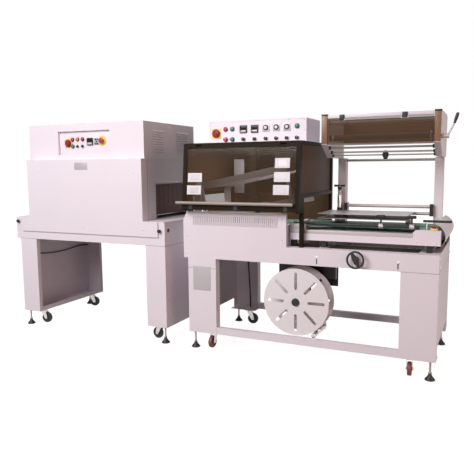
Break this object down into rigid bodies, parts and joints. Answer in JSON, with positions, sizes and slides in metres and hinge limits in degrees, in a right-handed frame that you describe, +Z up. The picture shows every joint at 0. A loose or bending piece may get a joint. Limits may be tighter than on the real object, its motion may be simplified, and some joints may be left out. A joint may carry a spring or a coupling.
{
  "type": "shrink_wrapping_machine",
  "caption": "Shrink wrapping line: automatic L-bar sealer with film unwinder and smoked hood on the right, heated shrink tunnel on the left, both on legs with casters and levelling feet.",
  "frame": {"origin": "floor level, under the middle of the line's bounding box", "axes": "+X along the line from the tunnel to the infeed, +Y from the operator's side to the back, +Z up"},
  "size_m": [3.0806, 0.8298, 1.497],
  "materials": {
    "paint_white": "satin powder coat, off-white with a pink cast",
    "paint_dark": "satin black paint",
    "smoked_acrylic": "smoked brown acrylic sheet",
    "bare_aluminium": "extruded and brushed",
    "bright_steel": "ground bars and rods",
    "zinc_steel": "zinc plated pressings",
    "black_plastic": "moulded black plastic",
    "green_belt": "green conveyor belt",
    "red_plastic": "moulded red plastic",
    "green_plastic": "moulded green plastic",
    "red_rubber": "dark red silicone strips",
    "caster_tread": "polyurethane tread",
    "reel_plastic": "white moulded plastic",
    "cable_sheath": "black cable sheath"
  },
  "bodies": {
    "root": {"sealer_legs": "paint_white", "sealer_top_frame": "paint_white", "sealer_apron": "paint_white", "vent_cover": "paint_white", "levelling_feet": "zinc_steel", "hood_frame": "paint_dark", "hood_panes": "smoked_acrylic", "control_box": "paint_white", "box_controls": "black_plastic", "film_stand": "paint_white", "unwinder_bars": "bright_steel", "infeed_table": "paint_white", "conveyor_belts": "green_belt", "forming_plates": "bare_aluminium", "adjuster_clamps": "black_plastic", "seal_base": "bare_aluminium", "winder_bracket": "paint_dark", "tunnel_base_frame": "paint_white", "tunnel_front_cover": "paint_white", "tunnel_chamber": "paint_white", "tunnel_hood": "paint_white", "tunnel_panel": "paint_white", "tunnel_conveyor": "bright_steel", "tunnel_heaters": "zinc_steel", "cables": "cable_sheath"},
    "hood_door": {"door_frame": "paint_dark", "door_pane": "smoked_acrylic", "door_handle": "bare_aluminium"},
    "seal_jaw": {"seal_jaw": "bare_aluminium"},
    "handwheel": {"handwheel": "black_plastic"},
    "scrap_reel": {"scrap_reel": "reel_plastic"},
    "dancer_arm": {"dancer_arm": "bright_steel"},
    "film_cover": {"film_cover": "smoked_acrylic"},
    "tension_lever": {"tension_lever": "bright_steel"},
    "guide_roller_lower": {"guide_roller_lower": "bare_aluminium"},
    "guide_roller_upper": {"guide_roller_upper": "bare_aluminium"},
    "sealer_main_switch": {"sealer_main_switch": "red_plastic"},
    "stop_button": {"stop_button": "red_plastic"},
    "start_button": {"start_button": "green_plastic"},
    "infeed_estop": {"infeed_estop": "red_plastic"},
    "tunnel_main_switch": {"tunnel_main_switch": "red_plastic"},
    "tunnel_estop": {"tunnel_estop": "red_plastic"},
    "entry_curtain": {"entry_curtain": "red_rubber"},
    "exit_curtain": {"exit_curtain": "red_rubber"},
    "caster_fork_1": {"caster_fork_1": "zinc_steel"},
    "caster_wheel_1": {"caster_wheel_1": "caster_tread"},
    "caster_fork_2": {"caster_fork_2": "zinc_steel"},
    "caster_wheel_2": {"caster_wheel_2": "caster_tread"},
    "caster_fork_3": {"caster_fork_3": "zinc_steel"},
    "caster_wheel_3": {"caster_wheel_3": "caster_tread"},
    "caster_fork_4": {"caster_fork_4": "zinc_steel"},
    "caster_wheel_4": {"caster_wheel_4": "caster_tread"},
    "caster_fork_5": {"caster_fork_5": "zinc_steel"},
    "caster_wheel_5": {"caster_wheel_5": "caster_tread"},
    "caster_fork_6": {"caster_fork_6": "zinc_steel"},
    "caster_wheel_6": {"caster_wheel_6": "caster_tread"},
    "caster_fork_7": {"caster_fork_7": "zinc_steel"},
    "caster_wheel_7": {"caster_wheel_7": "caster_tread"},
    "caster_fork_8": {"caster_fork_8": "zinc_steel"},
    "caster_wheel_8": {"caster_wheel_8": "caster_tread"}
  },
  "joints": [
    {"name": "caster_swivel_1", "type": "hinge", "parent": "root", "child": "caster_fork_1", "pos_m": [0.08267, -0.26207, 0.107], "axis": [0, 0, 1], "continuous": true},
    {"name": "caster_roll_1", "type": "hinge", "parent": "caster_fork_1", "child": "caster_wheel_1", "pos_m": [0.0819, -0.28406, 0.043], "axis": [0.9994, -0.0349, 0], "continuous": true},
    {"name": "caster_swivel_2", "type": "hinge", "parent": "root", "child": "caster_fork_2", "pos_m": [1.33467, -0.26207, 0.107], "axis": [0, 0, 1], "continuous": true},
    {"name": "caster_roll_2", "type": "hinge", "parent": "caster_fork_2", "child": "caster_wheel_2", "pos_m": [1.33697, -0.28395, 0.043], "axis": [0.9945, 0.1045, 0], "continuous": true},
    {"name": "caster_swivel_3", "type": "hinge", "parent": "root", "child": "caster_fork_3", "pos_m": [0.08267, 0.34293, 0.107], "axis": [0, 0, 1], "continuous": true},
    {"name": "caster_roll_3", "type": "hinge", "parent": "caster_fork_3", "child": "caster_wheel_3", "pos_m": [0.10419, 0.3475, 0.043], "axis": [-0.2079, 0.9781, 0], "continuous": true},
    {"name": "caster_swivel_4", "type": "hinge", "parent": "root", "child": "caster_fork_4", "pos_m": [1.33467, 0.34293, 0.107], "axis": [0, 0, 1], "continuous": true},
    {"name": "caster_roll_4", "type": "hinge", "parent": "caster_fork_4", "child": "caster_wheel_4", "pos_m": [1.31473, 0.33363, 0.043], "axis": [0.4226, -0.9063, 0], "continuous": true},
    {"name": "caster_swivel_5", "type": "hinge", "parent": "root", "child": "caster_fork_5", "pos_m": [-1.39733, -0.25207, 0.107], "axis": [0, 0, 1], "continuous": true},
    {"name": "caster_roll_5", "type": "hinge", "parent": "caster_fork_5", "child": "caster_wheel_5", "pos_m": [-1.37555, -0.24901, 0.043], "axis": [-0.1392, 0.9903, 0], "continuous": true},
    {"name": "caster_swivel_6", "type": "hinge", "parent": "root", "child": "caster_fork_6", "pos_m": [-0.33933, -0.25207, 0.107], "axis": [0, 0, 1], "continuous": true},
    {"name": "caster_roll_6", "type": "hinge", "parent": "caster_fork_6", "child": "caster_wheel_6", "pos_m": [-0.36112, -0.24901, 0.043], "axis": [-0.1392, -0.9903, 0], "continuous": true},
    {"name": "caster_swivel_7", "type": "hinge", "parent": "root", "child": "caster_fork_7", "pos_m": [-1.39733, 0.31393, 0.107], "axis": [0, 0, 1], "continuous": true},
    {"name": "caster_roll_7", "type": "hinge", "parent": "caster_fork_7", "child": "caster_wheel_7", "pos_m": [-1.37666, 0.32145, 0.043], "axis": [-0.342, 0.9397, 0], "continuous": true},
    {"name": "caster_swivel_8", "type": "hinge", "parent": "root", "child": "caster_fork_8", "pos_m": [-0.33933, 0.31393, 0.107], "axis": [0, 0, 1], "continuous": true},
    {"name": "caster_roll_8", "type": "hinge", "parent": "caster_fork_8", "child": "caster_wheel_8", "pos_m": [-0.361, 0.31011, 0.043], "axis": [0.1736, -0.9848, 0], "continuous": true},
    {"name": "hood_door_hinge", "type": "hinge", "parent": "root", "child": "hood_door", "pos_m": [0.31967, -0.34857, 1.326], "axis": [-1, 0, 0], "range_deg": [0, 80]},
    {"name": "seal_jaw_hinge", "type": "hinge", "parent": "root", "child": "seal_jaw", "pos_m": [-0.01633, -0.04807, 1.06], "axis": [0, 1, 0], "range_deg": [0, 11.2]},
    {"name": "handwheel_turn", "type": "hinge", "parent": "root", "child": "handwheel", "pos_m": [1.03667, -0.37207, 0.66], "axis": [0, 1, 0], "continuous": true},
    {"name": "scrap_reel_turn", "type": "hinge", "parent": "root", "child": "scrap_reel", "pos_m": [0.66667, -0.25407, 0.37], "axis": [0, 1, 0], "continuous": true},
    {"name": "dancer_swing", "type": "hinge", "parent": "root", "child": "dancer_arm", "pos_m": [0.77967, -0.16407, 0.48], "axis": [0, -1, 0], "range_deg": [0, 18]},
    {"name": "film_cover_hinge", "type": "hinge", "parent": "root", "child": "film_cover", "pos_m": [1.11567, -0.19257, 1.458], "axis": [-1, 0, 0], "range_deg": [0, 100]},
    {"name": "tension_lever_hinge", "type": "hinge", "parent": "root", "child": "tension_lever", "pos_m": [1.46967, -0.14907, 1.346], "axis": [1, 0, 0], "range_deg": [-30, 30]},
    {"name": "guide_roller_lower_turn", "type": "hinge", "parent": "root", "child": "guide_roller_lower", "pos_m": [1.11867, 0.15093, 0.89], "axis": [1, 0, 0], "continuous": true},
    {"name": "guide_roller_upper_turn", "type": "hinge", "parent": "root", "child": "guide_roller_upper", "pos_m": [1.11867, 0.15093, 0.932], "axis": [1, 0, 0], "continuous": true},
    {"name": "sealer_switch_turn", "type": "hinge", "parent": "root", "child": "sealer_main_switch", "pos_m": [0.03467, -0.10407, 1.406], "axis": [0, 1, 0], "range_deg": [0, 90]},
    {"name": "tunnel_switch_turn", "type": "hinge", "parent": "root", "child": "tunnel_main_switch", "pos_m": [-1.06433, -0.28607, 1.363], "axis": [0, 1, 0], "range_deg": [0, 90]},
    {"name": "stop_button_press", "type": "slide", "parent": "root", "child": "stop_button", "axis": [0, 1, 0], "range_m": [0, 0.004], "stiffness_N_per_m": 400, "springref_m": -0.002},
    {"name": "start_button_press", "type": "slide", "parent": "root", "child": "start_button", "axis": [0, 1, 0], "range_m": [0, 0.004], "stiffness_N_per_m": 400, "springref_m": -0.002},
    {"name": "infeed_estop_press", "type": "slide", "parent": "root", "child": "infeed_estop", "axis": [0, 0, -1], "range_m": [0, 0.005], "stiffness_N_per_m": 2000, "springref_m": -0.003},
    {"name": "tunnel_estop_press", "type": "slide", "parent": "root", "child": "tunnel_estop", "axis": [0, 1, 0], "range_m": [0, 0.004], "stiffness_N_per_m": 1000, "springref_m": -0.002},
    {"name": "entry_curtain_swing", "type": "hinge", "parent": "root", "child": "entry_curtain", "pos_m": [-0.42333, 0.05293, 1.07], "axis": [0, 1, 0], "range_deg": [-60, 60]},
    {"name": "exit_curtain_swing", "type": "hinge", "parent": "root", "child": "exit_curtain", "pos_m": [-1.40133, 0.05293, 1.07], "axis": [0, 1, 0], "range_deg": [-60, 60]}
  ]
}
